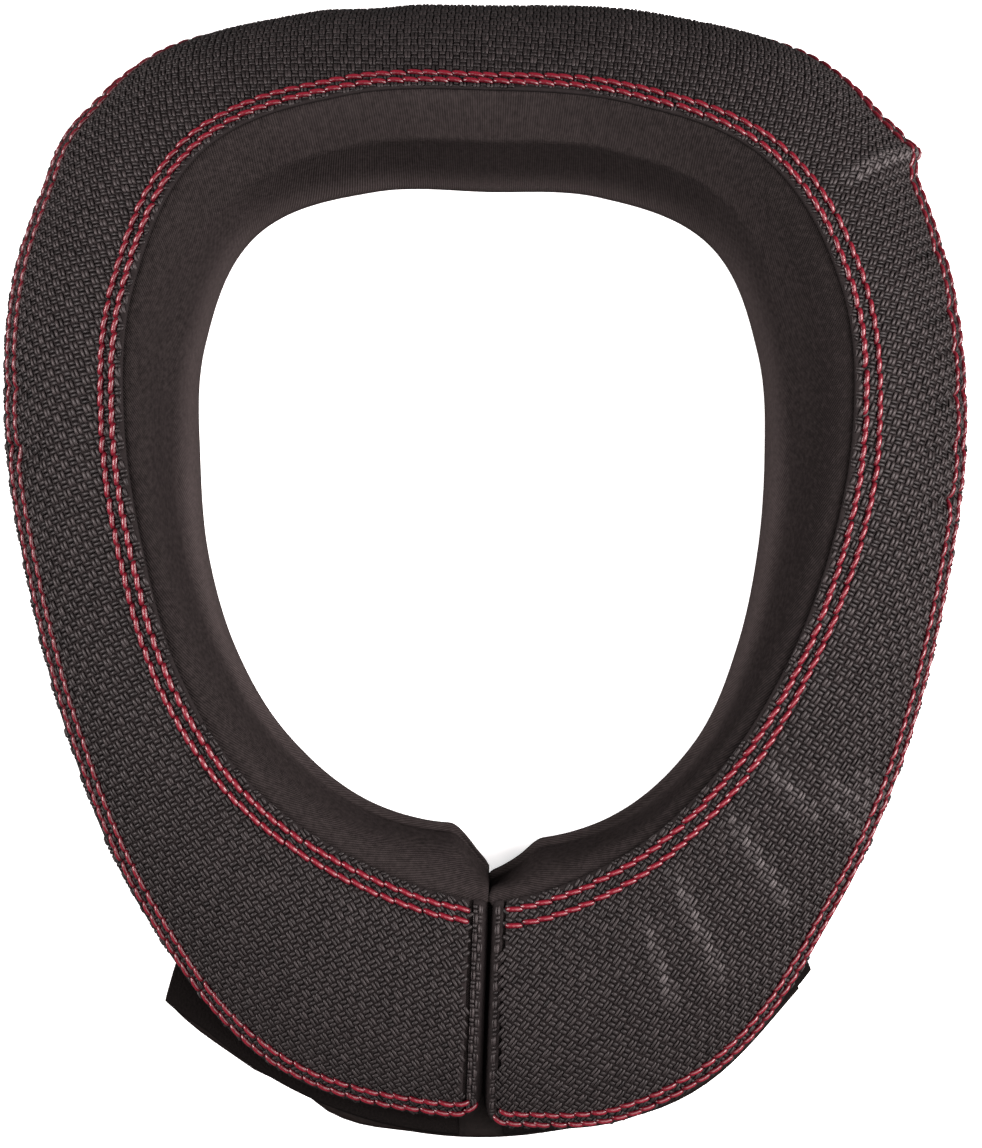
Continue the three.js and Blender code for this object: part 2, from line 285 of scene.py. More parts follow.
def outline_inset(outline, inset):
    """The outline of each section moved inwards by an inset, along the normal between its neighbours."""
    along = np.roll(outline, -1, axis=1) - np.roll(outline, 1, axis=1)
    along /= np.linalg.norm(along, axis=-1, keepdims=True)
    inward = np.stack([-along[..., 1], along[..., 0]], axis=-1)
    return outline + inset[:, None, None] * inward


def grid_faces(rows, columns, wrap):
    """Quads between neighbouring rows and columns of a grid of points; wrap joins the last column to the
    first, and closes the two open ends."""
    corner = np.arange(rows * columns).reshape(rows, columns)
    here, after = (corner, np.roll(corner, -1, axis=1)) if wrap else (corner[:, :-1], corner[:, 1:])
    faces = np.stack([here[:-1], after[:-1], after[1:], here[1:]], axis=-1).reshape(-1, 4).tolist()
    return faces + [corner[0, ::-1].tolist(), corner[-1].tolist()] if wrap else faces


def add_piece(name, points, faces, material):
    """A smooth-shaded mesh of points in millimetres, which rides on the collar."""
    mesh = bpy.data.meshes.new(name)
    mesh.from_pydata((points.reshape(-1, 3) * MM).tolist(), [], faces)
    mesh.polygons.foreach_set("use_smooth", np.ones(len(mesh.polygons), bool))
    mesh.materials.append(material)
    mesh.update()
    piece = bpy.data.objects.new(name, mesh)
    bpy.context.scene.collection.objects.link(piece)
    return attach(piece, "root")


def set_value(piece, name, values):
    """A number for each point of a piece, which its material reads."""
    attribute = piece.data.attributes.new(name, "FLOAT", "POINT")
    attribute.data.foreach_set("value", values.astype(np.float32).ravel())


def shader(name, **sockets):
    """A new material with constant values on its shader's sockets, with its nodes and its shader."""
    material = bpy.data.materials.new(name)
    material.use_nodes = True
    surface = material.node_tree.nodes["Principled BSDF"]
    for socket, value in sockets.items():
        surface.inputs[socket.replace("_", " ")].default_value = value
    return material, material.node_tree, surface


def add_node(tree, kind, inputs=(), **settings):
    """A node with its settings and its inputs, each a (name, value or socket) pair."""
    made = tree.nodes.new(kind)
    for name, value in settings.items():
        setattr(made, name, value)
    for name, value in inputs:
        if isinstance(value, bpy.types.NodeSocket):
            tree.links.new(value, made.inputs[name])
        else:
            made.inputs[name].default_value = value
    return made


def wave(tree, attribute):
    """A sine wave along an attribute that counts waves, from 0 to 1."""
    count = add_node(tree, "ShaderNodeAttribute", attribute_name=attribute).outputs["Fac"]
    turns = add_node(tree, "ShaderNodeMath", [(0, count), (1, 2 * np.pi)], operation="MULTIPLY").outputs[0]
    sine = add_node(tree, "ShaderNodeMath", [(0, turns)], operation="SINE").outputs[0]
    half = [(0, sine), (1, 0.5), (2, 0.5)]
    return add_node(tree, "ShaderNodeMath", half, operation="MULTIPLY_ADD").outputs[0]


def blend_colours(tree, share, first, second):
    """One colour where share is 0 and another where it is 1."""
    stops = add_node(tree, "ShaderNodeValToRGB", [("Fac", share)])
    stops.color_ramp.elements[0].color = (*first, 1)
    stops.color_ramp.elements[1].color = (*second, 1)
    return stops.outputs["Color"]


def roughen(tree, surface, height, distance):
    """Bump on a surface: height from 0 to 1, over a distance in metres."""
    bump = add_node(tree, "ShaderNodeBump", [("Height", height), ("Distance", distance), ("Strength", 1)])
    tree.links.new(bump.outputs["Normal"], surface.inputs["Normal"])


KNIT_DARK = (0.0075, 0.0063, 0.0062)
KNIT_LIGHT = (0.0147, 0.0124, 0.0122)
PAINTED_LIT_KNIT_DARK = (0.042, 0.0343, 0.0336)  # painted light: the paler knit colour mixed in over the rim and a little above it
PAINTED_LIT_KNIT_LIGHT = (0.07, 0.0576, 0.0565)
RIB_PITCH = 0.62
FUZZ = 0.55  # how far the knit's fine fuzz changes its share of that painted-light colour

end_turns = np.append([0, 0.12, 0.3, 0.55, 0.85], np.arange(1.2, 8, 0.4))
pad_turns = np.concatenate([PAD_END + end_turns, np.arange(9, 352), 360 - PAD_END - end_turns[::-1]])
pad_ring = ring_section(pad_turns)
outline, fall_start, rim_start = pad_outline(pad_ring)
behind = np.maximum(np.minimum(pad_turns, 360 - pad_turns) - PAD_END, 0)
pad_inset = corner_fall(np.radians(behind) * 0.5 * (pad_ring.outer + pad_ring.inner), END_ROUND)
outline = outline_inset(outline, pad_inset)
# Inside the woven cover's edge, the knit of each end comes forward until the two ends touch. The left end
# reaches a little less far and the right end a little further.
END_TOUCH = {"left": 0.92, "right": 1.22}  # in degrees
INSIDE = {"full": 2.4, "none": 1.6}  # from the seam inwards
end_touch = np.where(pad_turns < 180, END_TOUCH["left"], END_TOUCH["right"])
forward = (end_touch * np.exp(-((behind / 2) ** 2)))[:, None]
seam = pad_ring.seam[:, None]
forward = forward * (1 - smooth_step(outline[..., 0], seam - INSIDE["full"], seam - INSIDE["none"]))
pad_turn = pad_turns[:, None] + np.where(pad_turns < 180, -1, 1)[:, None] * forward
pad_points = stand(pad_turn, outline)

knit, tree, surface = shader("smooth_knit", Roughness=0.6, Specular_IOR_Level=0.0)
rib = wave(tree, "rib")
plain = blend_colours(tree, rib, KNIT_DARK, KNIT_LIGHT)
painted_lit_knit = blend_colours(tree, rib, PAINTED_LIT_KNIT_DARK, PAINTED_LIT_KNIT_LIGHT)
# The stretch attribute gives the share of the paler colour at each point: painted light, full on the rim,
# less above it, and least along the right seam, as painted shade.
stretch = add_node(tree, "ShaderNodeAttribute", attribute_name="stretch").outputs["Fac"]
place = add_node(tree, "ShaderNodeTexCoord").outputs["Object"]
fuzz = add_node(tree, "ShaderNodeTexNoise", [("Vector", place), ("Scale", 800.0), ("Detail", 3.0)])
centred = [(0, fuzz.outputs["Fac"]), (1, FUZZ), (2, -0.5 * FUZZ)]
uneven = add_node(tree, "ShaderNodeMath", centred, operation="MULTIPLY_ADD").outputs[0]
painted_light_share = add_node(tree, "ShaderNodeMath", [(0, stretch), (1, uneven)], operation="ADD").outputs[0]
mixed = add_node(tree, "ShaderNodeMix", [("Factor", painted_light_share), (6, plain), (7, painted_lit_knit)], data_type="RGBA")
tree.links.new(mixed.outputs[2], surface.inputs["Base Color"])
roughen(tree, surface, rib, 0.0001)
neck_pad = add_piece("neck_pad_knit", pad_points, grid_faces(*outline.shape[:2], True), knit)

# The ribs run straight across the knit at the back, and swing towards the front on both sides.
RIB_SWING = {"over": 110, "by": 65}  # in degrees
swing = smooth_step(np.abs(180 - pad_turns), 0, RIB_SWING["over"]) * np.sign(180 - pad_turns)
rib_angle = np.radians(90 - RIB_SWING["by"] * swing)
round_step = np.linalg.norm(np.diff(pad_points[:, fall_start + 10], axis=0), axis=1)
round_way = np.concatenate([[0], np.cumsum(round_step * np.sin(0.5 * (rib_angle[1:] + rib_angle[:-1])))])
down_step = np.linalg.norm(np.diff(pad_points, axis=1, prepend=pad_points[:, :1]), axis=-1)
down_way = np.cumsum(down_step, axis=1)
down_way -= down_way[:, fall_start, None]
set_value(neck_pad, "rib", (round_way[:, None] + down_way * np.cos(rib_angle)[:, None]) / RIB_PITCH)
# Over the rim the knit is painted paler, as painted light: twice as much at the sides as at the front and
# fully at the back.
RIM_PAINTED_LIGHT = 0.28
RIM_LATER = 9  # points of a section by which the rim starts later at the back
column = np.arange(outline.shape[1])
from_rim = column[None] - rim_start - RIM_LATER * pad_ring.back[:, None]
painted_rim_light = RIM_PAINTED_LIGHT + RIM_PAINTED_LIGHT * smooth_step(pad_ring.side, 0, 0.6)
painted_rim_light = np.maximum(painted_rim_light, smooth_step(pad_ring.back, 0.6, 1))
# Above the rim the knit takes a little painted light, most at the front, and painted shade makes it darkest
# along the seam on the right.
ABOVE_RIM_PAINTED_LIGHT = {"front": 0.19, "side": -0.09, "back": -0.02, "seam": -0.09}
right = smooth_step(-np.sin(np.radians(pad_turns)), -0.2, 0.6)
below_seam = smooth_step(column, fall_start + 4, rim_start - 2)
painted_light_above_rim = (ABOVE_RIM_PAINTED_LIGHT["front"] + ABOVE_RIM_PAINTED_LIGHT["side"] * pad_ring.side + ABOVE_RIM_PAINTED_LIGHT["back"] * pad_ring.back)[:, None]
painted_light_above_rim = painted_light_above_rim + ABOVE_RIM_PAINTED_LIGHT["seam"] * right[:, None] * (1 - below_seam)
over_rim = smooth_step(from_rim, -3, 6)
set_value(neck_pad, "stretch", np.maximum(painted_light_above_rim + over_rim * (painted_rim_light[:, None] - painted_light_above_rim), 0))
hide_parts("neck_pad")

# Top cover
# Coarse woven fabric sewn over the top and the outer face of the foam, with its raw inner edge lying on the
# knit. The dark ground cloth is made here, and the yarns that float over it come next.

COVER_ENDS = (2.05, 358.2)
GROUND_DEPTH = 0.55
CREASES = [
    {"turn_out": 231.2, "turn_in": 228.2, "from": 0.12, "to": 1.12, "width": 2.2, "rise": 1.5, "fold": 1},
    {"turn_out": 240.2, "turn_in": 240.6, "from": 0.45, "to": 1.0, "width": 1.8, "rise": -0.8, "fold": 0},
    {"turn_out": 247.1, "turn_in": 248.0, "from": 0.4, "to": 1.0, "width": 1.8, "rise": -0.9, "fold": 0},
    {"turn_out": 251.1, "turn_in": 252.8, "from": 0.45, "to": 1.0, "width": 1.6, "rise": -0.7, "fold": 0},
    {"turn_out": 256.5, "turn_in": 258.5, "from": 0.4, "to": 1.0, "width": 1.8, "rise": -0.9, "fold": 0},
    {"turn_out": 262.4, "turn_in": 264.6, "from": 0.4, "to": 1.0, "width": 1.8, "rise": -1.0, "fold": 0},
    {"turn_out": 269.2, "turn_in": 271.0, "from": 0.5, "to": 0.95, "width": 2.0, "rise": -1.3, "fold": 0},
    {"turn_out": 307.2, "turn_in": 307.0, "from": 0.55, "to": 1.0, "width": 1.5, "rise": 0.3, "fold": 0},
    {"turn_out": 309.4, "turn_in": 309.4, "from": 0.4, "to": 0.95, "width": 1.5, "rise": 0.35, "fold": 0},
    {"turn_out": 311.8, "turn_in": 311.6, "from": 0.45, "to": 1.0, "width": 1.5, "rise": 0.35, "fold": 0},
    {"turn_out": 314.4, "turn_in": 314.2, "from": 0.1, "to": 0.6, "width": 1.5, "rise": 0.5, "fold": 0},
    {"turn_out": 323.9, "turn_in": 323.2, "from": 0.1, "to": 0.75, "width": 1.6, "rise": 0.5, "fold": 0},
    {"turn_out": 334.1, "turn_in": 334.2, "from": 0.1, "to": 0.7, "width": 1.6, "rise": 0.5, "fold": 0},
    {"turn_out": 340.0, "turn_in": 340.0, "from": 0.2, "to": 0.65, "width": 1.5, "rise": 0.4, "fold": 0},
    {"turn_out": 97.0, "turn_in": 95.0, "from": 0.5, "to": 0.95, "width": 2.2, "rise": -1.2, "fold": 0},
    {"turn_out": 104.0, "turn_in": 103.0, "from": 0.55, "to": 1.0, "width": 2.0, "rise": -0.7, "fold": 0},
]


def row_share(cover, radius):
    """The share of the way across the cover, at each turn, where its top face has a radius."""
    r = cover.section[..., 0]
    column = np.clip((r < radius[:, None]).sum(axis=1) - 1, 0, r.shape[1] - 2)
    rows = np.arange(len(r))
    part = (radius - r[rows, column]) / (r[rows, column + 1] - r[rows, column])
    return cover.share[column] + np.clip(part, 0, 1) * (cover.share[1] - cover.share[0])


def grid_normals(points):
    """Unit normals of a grid of points, on the side that faces up and out."""
    normal = np.cross(np.gradient(points, axis=0), np.gradient(points, axis=1))
    return normal / np.linalg.norm(normal, axis=-1, keepdims=True)


def cover_grid(turns, columns):
    """A grid over the cover's top face: sections at each turn, and even shares of the way across."""
    ring = ring_section(turns)
    share = np.linspace(0, 1, columns)
    section, _ = below_cover(ring, share, 0)
    points = stand(turns[:, None], section)
    return SimpleNamespace(ring=ring, turn=turns, share=share, section=section, points=points)


cover = cover_grid(np.linspace(0.35, 359.65, 900), 65)
GAUGE_TURNS = [0, 140, 180, 230, 270, 300, 345]
SEAM_GAUGE = [3.1, 3.0, 1.9, 3.4, 4.1, 3.0, 4.4]  # between the two rows of the seam
seam_gauge = np.interp(cover.turn, GAUGE_TURNS, SEAM_GAUGE)
HEM_TURNS = [0, 30, 45, 135, 155, 360]
HEM_IN = [1.3, 1.3, 2.1, 2.1, 1.3, 1.3]  # from the hem's edge to its outer row
HEM_GAUGE = 2.6
hem_in = np.interp(cover.turn, HEM_TURNS, HEM_IN)
stitch_rows = {
    "seam_inner": row_share(cover, cover.ring.seam),
    "seam_outer": row_share(cover, cover.ring.seam + seam_gauge),
    "hem_inner": row_share(cover, cover.ring.outer - hem_in - HEM_GAUGE),
    "hem_outer": row_share(cover, cover.ring.outer - hem_in),
}
cover_width = np.linalg.norm(np.diff(cover.points, axis=1), axis=-1).sum(axis=1)
# At the back the hem is tucked under, and its two rows follow it out of sight.
TUCK_FADE = (27, 50)  # degrees from the back
tuck = 1 - smooth_step(np.abs(cover.turn - 180), *TUCK_FADE)
stitch_rows["hem_inner"] += tuck * (1 - (hem_in + HEM_GAUGE) / cover_width - stitch_rows["hem_inner"])
stitch_rows["hem_outer"] += tuck * (1 - hem_in / cover_width - stitch_rows["hem_outer"])
across = cover.share[None] * cover_width[:, None]
# The fabric is pulled down along each row of stitches, and swells a little between the two seams.
SWELL = 0.5
TUCK_IN = 1.8
TUCK_WAY = (8, 1)  # from the hem, where the tuck starts and where it is full
STITCH_DIP = 0.4
relief = SWELL * np.sin(np.pi * cover.share)[None] * np.ones_like(across)
tuck_start, tuck_end = (cover_width[:, None] - way for way in TUCK_WAY)
relief -= TUCK_IN * tuck[:, None] * smooth_step(across, tuck_start, tuck_end)
for share in stitch_rows.values():
    relief -= STITCH_DIP * np.exp(-((across - (share * cover_width)[:, None]) ** 2))
# Along a ridge the yarns are paler from wear and a painted highlight, and in a valley painted shade makes
# them darker.
CREASE_FADE = (0.3, 0.75)  # shares of a crease's way by which it is full and from which it fades
FOLD_LEAN = 0.8  # how far a fold leans over to one side
WEAR_AND_SHADING_LIMITS = (-0.25, 0.5)
crease_wear_and_shading = np.zeros_like(across)
for crease in CREASES:
    reach = (cover.share - crease["from"]) / (crease["to"] - crease["from"])
    line = crease["turn_in"] + np.clip(reach, 0, 1) * (crease["turn_out"] - crease["turn_in"])
    fade = smooth_step(reach, 0, CREASE_FADE[0]) * (1 - smooth_step(reach, CREASE_FADE[1], 1))
    off = np.radians(cover.turn[:, None] - line[None]) * cover.section[..., 0] / crease["width"]
    hump = np.exp(-(off**2)) * fade[None]
    relief += crease["rise"] * hump * (1 - FOLD_LEAN * off * crease["fold"])
    crease_wear_and_shading += np.clip(crease["rise"], *WEAR_AND_SHADING_LIMITS) * hump
normals = grid_normals(cover.points)
cover.points = cover.points + relief[..., None] * normals
cover.normals = grid_normals(cover.points)

GROUND_DARK = (0.009, 0.0073, 0.0073)
GROUND_LIGHT = (0.018, 0.0148, 0.0148)
ground, tree, surface = shader("ground_cloth", Roughness=0.8, Specular_IOR_Level=0.04)
place = add_node(tree, "ShaderNodeTexCoord").outputs["Object"]
speckle = add_node(tree, "ShaderNodeTexNoise", [("Vector", place), ("Scale", 900.0), ("Detail", 2.0)])
speckled = blend_colours(tree, speckle.outputs["Fac"], GROUND_DARK, GROUND_LIGHT)
tree.links.new(speckled, surface.inputs["Base Color"])
covered = np.flatnonzero((cover.turn > COVER_ENDS[0]) & (cover.turn < COVER_ENDS[1]))
shell_rows = np.append(covered[:-1:2], covered[-1])
shell = np.concatenate(
    [
        cover.points - COVER_THICK * cover.normals,
        (cover.points - GROUND_DEPTH * cover.normals)[:, ::-1],
    ],
    axis=1,
)[shell_rows]
ground_cloth = add_piece("cover_ground", shell, grid_faces(*shell.shape[:2], True), ground)
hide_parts("top_cover")

# Woven yarns
# A coarse basket weave of slightly glossy yarns. In a chequered pattern of small cells, two yarns float side
# by side over each cell, by turns along and across the fabric, and dive under at its edges.

CELL = np.array([1.85, 2.55])
FLOAT_ENDS = np.array([-1.06, -0.6, 0.6, 1.06])
FLOAT_RISE = np.array([-0.46, 0.0, 0.0, -0.46])
FLOAT_TAPER = np.array([0.75, 1.0, 1.0, 0.75])
FLOAT_SIDES = np.array([-1.0, -0.45, 0.45, 1.0])
SIDE_RISE = np.array([-0.3, 0.0, 0.0, -0.3])
FLOAT_SIZE = np.array([0.48, 0.98])  # width and length, as shares of the cell
FLOAT_APART = 0.24  # how far a float lies from the middle of its cell, with another beside it
LOW_SET = 0.08  # how far the lower yarns lie below the raised ones
FLOAT_UNEVEN = 0.06  # how far floats differ in place and size, in height, and in shade
HEIGHT_UNEVEN = 0.05
SHADE_UNEVEN = 0.22
YARN_DARK = (0.004, 0.0032, 0.0032)
YARN_LIGHT = (0.036, 0.0298, 0.0298)
YARN_WEAR_AND_HIGHLIGHT = (0.13, 0.118, 0.118)  # on ridges: pale from wear, with a painted highlight
LOW_WEAR_AND_HIGHLIGHT = 0.35  # how much of the wear and painted highlight reaches the lower yarns
FOUND_WITHIN = 0.05
draw = np.random.default_rng(7)


def at_index(values, row, column):
    """Values of a grid between its points, at fractions of its rows and columns."""
    row = np.clip(row, 0, values.shape[0] - 1.0001)
    column = np.clip(column, 0, values.shape[1] - 1.0001)
    i, j = row.astype(int), column.astype(int)
    u, v = (row - i)[..., None], (column - j)[..., None]
    near = values[i, j] * (1 - v) + values[i, j + 1] * v
    return near * (1 - u) + (values[i + 1, j] * (1 - v) + values[i + 1, j + 1] * v) * u


def find_on_grid(flat, wanted):
    """The rows and columns, with fractions, at which a grid of flat places takes the wanted ones: the nearest
    point of a coarse grid first, then six steps with the grid's own slopes. Also says which are on it."""
    coarse_rows = np.arange(0, flat.shape[0], 5)
    coarse_columns = np.arange(0, flat.shape[1], 4)
    coarse = flat[np.ix_(coarse_rows, coarse_columns)].reshape(-1, 2)
    nearest = [
        ((part[:, None] - coarse[None]) ** 2).sum(axis=-1).argmin(axis=1)
        for part in np.array_split(wanted, 40)
    ]
    nearest = np.concatenate(nearest)
    row = coarse_rows[nearest // len(coarse_columns)].astype(float)
    column = coarse_columns[nearest % len(coarse_columns)].astype(float)
    slopes = np.stack([np.gradient(flat, axis=0), np.gradient(flat, axis=1)], axis=-1)
    for _ in range(6):
        gap = wanted - at_index(flat, row, column)
        slope = at_index(slopes.reshape(*flat.shape[:2], 4), row, column).reshape(-1, 2, 2)
        step = np.linalg.solve(slope, gap[..., None])[..., 0]
        row = row + step[:, 0]
        column = column + step[:, 1]
    gap = np.linalg.norm(wanted - at_index(flat, row, column), axis=1)
    slope = at_index(slopes.reshape(*flat.shape[:2], 4), row, column).reshape(-1, 2, 2)
    return row, column, slope, gap < FOUND_WITHIN


def float_yarns(name, points, normals, flat, rows, crease_wear_and_shading, shades):
    """Closed yarn floats over a grid, in the cells whose middles lie between two of its rows. flat gives the
    place of each point of the grid in the fabric as it was woven, crease_wear_and_shading how far the yarns
    are paler there from wear and a painted highlight on a ridge, and darker from painted shade in a valley,
    and shades those of the raised and the lower yarns at each row. A float is a small bar that narrows and
    dives towards its ends. Two lie side by side over each cell: raised ones along the fabric in every other
    cell, and in the cells between, lower ones across it, whose darker shade is painted shade."""
    low, high = flat.reshape(-1, 2).min(axis=0), flat.reshape(-1, 2).max(axis=0)
    first, last = np.floor(low / CELL).astype(int), np.ceil(high / CELL).astype(int)
    cells = np.meshgrid(*(np.arange(a, b + 1) for a, b in zip(first, last)))
    cells = np.stack(cells, axis=-1).reshape(-1, 2)
    row, column, slope, found = find_on_grid(flat, cells * CELL)
    found &= (column > 0) & (column < flat.shape[1] - 1.5) & (row >= rows[0]) & (row < rows[1])
    even, odd = (np.flatnonzero(found & (cells.sum(axis=1) % 2 == rest)) for rest in (0, 1))
    chosen = np.concatenate([even, even, odd, odd])
    row, column, slope = row[chosen], column[chosen], slope[chosen]
    raised = (np.arange(len(chosen)) < 2 * len(even))[:, None]
    beside = np.repeat([1, -1, 1, -1], [len(even), len(even), len(odd), len(odd)])[:, None]
    beside = beside * FLOAT_APART * CELL
    middle = np.where(raised, [1, 0], [0, 1]) * beside + draw.normal(0, FLOAT_UNEVEN, (len(row), 2))
    half = CELL / 2 * np.where(raised, FLOAT_SIZE, FLOAT_SIZE[::-1])
    half = half * (1 + draw.normal(0, FLOAT_UNEVEN, (len(row), 2)))
    along = np.repeat(FLOAT_ENDS, len(FLOAT_SIDES))[None]
    across = np.outer(FLOAT_TAPER, FLOAT_SIDES).reshape(1, -1)
    rise = (FLOAT_RISE[:, None] + SIDE_RISE[None]).reshape(1, -1)
    stretch = np.stack([np.where(raised, across, along), np.where(raised, along, across)], axis=-1)
    offset = middle[:, None] + stretch * half[:, None]
    step = np.linalg.solve(slope[:, None], offset[..., None])[..., 0]
    at_row, at_column = row[:, None] + step[..., 0], column[:, None] + step[..., 1]
    height = rise - np.where(raised, 0, LOW_SET) + draw.normal(0, HEIGHT_UNEVEN, (len(row), 1))
    up = at_index(normals, at_row, at_column)
    corners = at_index(points, at_row, at_column) + height[..., None] * up
    # A float that runs the other way round its cell is turned over, so that its faces point outwards.
    over = raised[:, 0] != (np.linalg.det(slope[:1])[0] > 0)
    order = np.arange(rise.size).reshape(len(FLOAT_ENDS), len(FLOAT_SIDES))
    bar = grid_faces(*order.shape, True)
    order = np.where(over[:, None, None], order[:, ::-1], order).reshape(len(row), -1)
    order = order + rise.size * np.arange(len(row))[:, None]
    faces = [corner for face in bar for corner in order[:, face].tolist()]
    piece = add_piece(name, corners, faces, yarn)
    shade = shades[np.clip(row.astype(int), 0, len(shades) - 1)]
    shade = np.where(raised[:, 0], shade[:, 0], shade[:, 1])
    shade = shade * (1 + draw.normal(0, SHADE_UNEVEN, len(row)))
    # On a ridge, wear and a painted highlight make the yarns paler; in a valley, painted shade makes them
    # darker.
    wear_and_shading = at_index(crease_wear_and_shading[..., None], row, column)[:, 0]
    set_value(piece, "shade", np.repeat(np.clip(shade + np.minimum(wear_and_shading, 0), 0, 1), rise.size))
    wear_and_shading = np.clip(wear_and_shading * np.where(raised[:, 0], 1, LOW_WEAR_AND_HIGHLIGHT), 0, 1)
    set_value(piece, "wear_and_highlight", np.repeat(wear_and_shading, rise.size))
    return piece


yarn, tree, surface = shader("glossy_yarn", Roughness=0.46, Specular_IOR_Level=0.2)
# The shade attribute carries painted light and shade: lighter on the sides, darker on the lower yarns and in
# valleys.
shade = add_node(tree, "ShaderNodeAttribute", attribute_name="shade").outputs["Fac"]
clean = blend_colours(tree, shade, YARN_DARK, YARN_LIGHT)
# This attribute carries the pale wear on ridges, with a painted highlight.
wear_and_highlight = add_node(tree, "ShaderNodeAttribute", attribute_name="wear_and_highlight").outputs["Fac"]
pale = [("Factor", wear_and_highlight), (6, clean), (7, (*YARN_WEAR_AND_HIGHLIGHT, 1))]
pale = add_node(tree, "ShaderNodeMix", pale, data_type="RGBA").outputs[2]
tree.links.new(pale, surface.inputs["Base Color"])

# The fabric as it was woven. The yarns lie straight across the collar at its back and swing round with the
# two arms; grain is the angle of one set of yarns to the left-to-right line, in degrees, and cell the length
# of a cell along the other set as it shows from above, in millimetres, at turns round the ring. shade is that
# of the raised yarns and low that of the lower ones. Both hold painted light and shade: the yarns are painted
# lighter on the sides than at the front, as painted light, and the lower yarns darker than the raised ones,
# as painted shade.
WEAVE = [
    {"turn": 0, "grain": 30, "cell": 2.55, "shade": 0.38, "low": 0.28},
    {"turn": 40, "grain": 30, "cell": 2.55, "shade": 0.39, "low": 0.28},
    {"turn": 70, "grain": 24, "cell": 2.55, "shade": 0.55, "low": 0.3},
    {"turn": 105, "grain": 16, "cell": 2.4, "shade": 0.8, "low": 0.33},
    {"turn": 125, "grain": 10, "cell": 1.95, "shade": 0.78, "low": 0.35},
    {"turn": 150, "grain": 1, "cell": 1.67, "shade": 0.58, "low": 0.31},
    {"turn": 206, "grain": -6, "cell": 1.67, "shade": 0.55, "low": 0.29},
    {"turn": 237, "grain": -12, "cell": 1.85, "shade": 0.66, "low": 0.3},
    {"turn": 267, "grain": -18, "cell": 2.3, "shade": 0.86, "low": 0.34},
    {"turn": 300, "grain": -32, "cell": 2.6, "shade": 0.56, "low": 0.31},
    {"turn": 360, "grain": -31, "cell": 2.6, "shade": 0.4, "low": 0.29},
]


def along_weave(turn, name):
    """A column of the weave's table at each turn, in straight lines between its rows."""
    return np.interp(turn, [row["turn"] for row in WEAVE], [row[name] for row in WEAVE])


def in_fabric(turn, step):
    """A step seen from above, as a step in the fabric: turned by the grain, and drawn out where the cells
    look shorter than they are."""
    grain = np.radians(along_weave(turn, "grain"))
    first = np.cos(grain) * step[:, 0] + np.sin(grain) * step[:, 1]
    second = np.cos(grain) * step[:, 1] - np.sin(grain) * step[:, 0]
    return np.stack([first, second * CELL[1] / along_weave(turn, "cell")], axis=-1)


# The cover's middle line is rolled out in the fabric, and every point keeps its share of the way across it.
plain_width = plan_radius("outer", cover.turn) - plan_radius("seam", cover.turn) + OVERLAP["front"]
middle_radius = plan_radius("seam", cover.turn) - OVERLAP["front"] + 0.5 * plain_width
turn_angle = np.radians(cover.turn)
outwards = np.stack([-np.sin(turn_angle), -np.cos(turn_angle)], axis=-1)
line_step = np.gradient(middle_radius[:, None] * outwards, axis=0)
rolled = np.cumsum(in_fabric(cover.turn, line_step), axis=0)
sideways = (across / cover_width[:, None] - 0.5) * plain_width[:, None]
woven_flat = rolled[:, None] + sideways[..., None] * in_fabric(cover.turn, outwards)[:, None]

NEARBY = 8  # rows of the grid past each quarter, on which the floats at its end still lie
quarters = ["yarns_left_front", "yarns_left_back", "yarns_right_back", "yarns_right_front"]
for name, part in zip(quarters, np.array_split(covered, len(quarters))):
    first = max(part[0] - NEARBY, 0)
    near = slice(first, part[-1] + 1 + NEARBY)
    rows = (part[0] - first, part[-1] + 1 - first)
    float_yarns(
            name,
            cover.points[near],
            cover.normals[near],
            woven_flat[near],
            rows,
            crease_wear_and_shading[near],
            np.stack([along_weave(cover.turn[near], column) for column in ("shade", "low")], axis=-1),
        )

# Seam and hem stitching
# Thick twisted thread in two rows along the inner edge of the woven cover and two along its hem. Each stitch
# is a short arch of thread that dives into the fabric at both ends.

STITCH_PITCH = 4.1
STITCH_ROWS = {
    "seam_stitches": [
        {"row": "seam_inner", "from": 2.2, "to": 358.1, "phase": 0.0, "radius": 0.8},
        {"row": "seam_outer", "from": 2.3, "to": 358.1, "phase": 0.3, "radius": 0.8},
    ],
    "hem_stitches": [
        {"row": "hem_outer", "from": 0.5, "to": 358.9, "phase": 0.1, "radius": 0.76},
        {"row": "hem_inner", "from": 1.5, "to": 358.2, "phase": 0.5, "radius": 0.76},
    ],
}
THREAD_SIDES = 8
THREAD_TALL = 0.9  # height of the thread for its width
STITCH_WAY = np.array([-1.12, -0.94, -0.55, 0.0, 0.55, 0.94, 1.12])  # along a stitch, in half pitches
STITCH_RISE = np.array([-0.45, -0.05, 0.2, 0.3, 0.2, -0.05, -0.45])
STITCH_GIRTH = np.array([0.7, 0.9, 1.0, 1.0, 1.0, 0.9, 0.7])
STITCH_SKEW = 0.3
STITCH_UNEVEN = 0.06
PLIES = 2
PLY_TWIST = 1.6
# The thread is painted lighter on its crown, a painted highlight, and darker on its sides, painted shade.
THREAD_PAINTED_SHADE = (0.045, 0.0006, 0.0036)
THREAD_PAINTED_HIGHLIGHT = (0.155, 0.005, 0.0145)

thread, tree, surface = shader("red_thread", Roughness=0.3, Specular_IOR_Level=0.5)
crown = add_node(tree, "ShaderNodeAttribute", attribute_name="crown").outputs["Fac"]
tree.links.new(blend_colours(tree, crown, THREAD_PAINTED_SHADE, THREAD_PAINTED_HIGHLIGHT), surface.inputs["Base Color"])
roughen(tree, surface, wave(tree, "ply"), 0.00003)


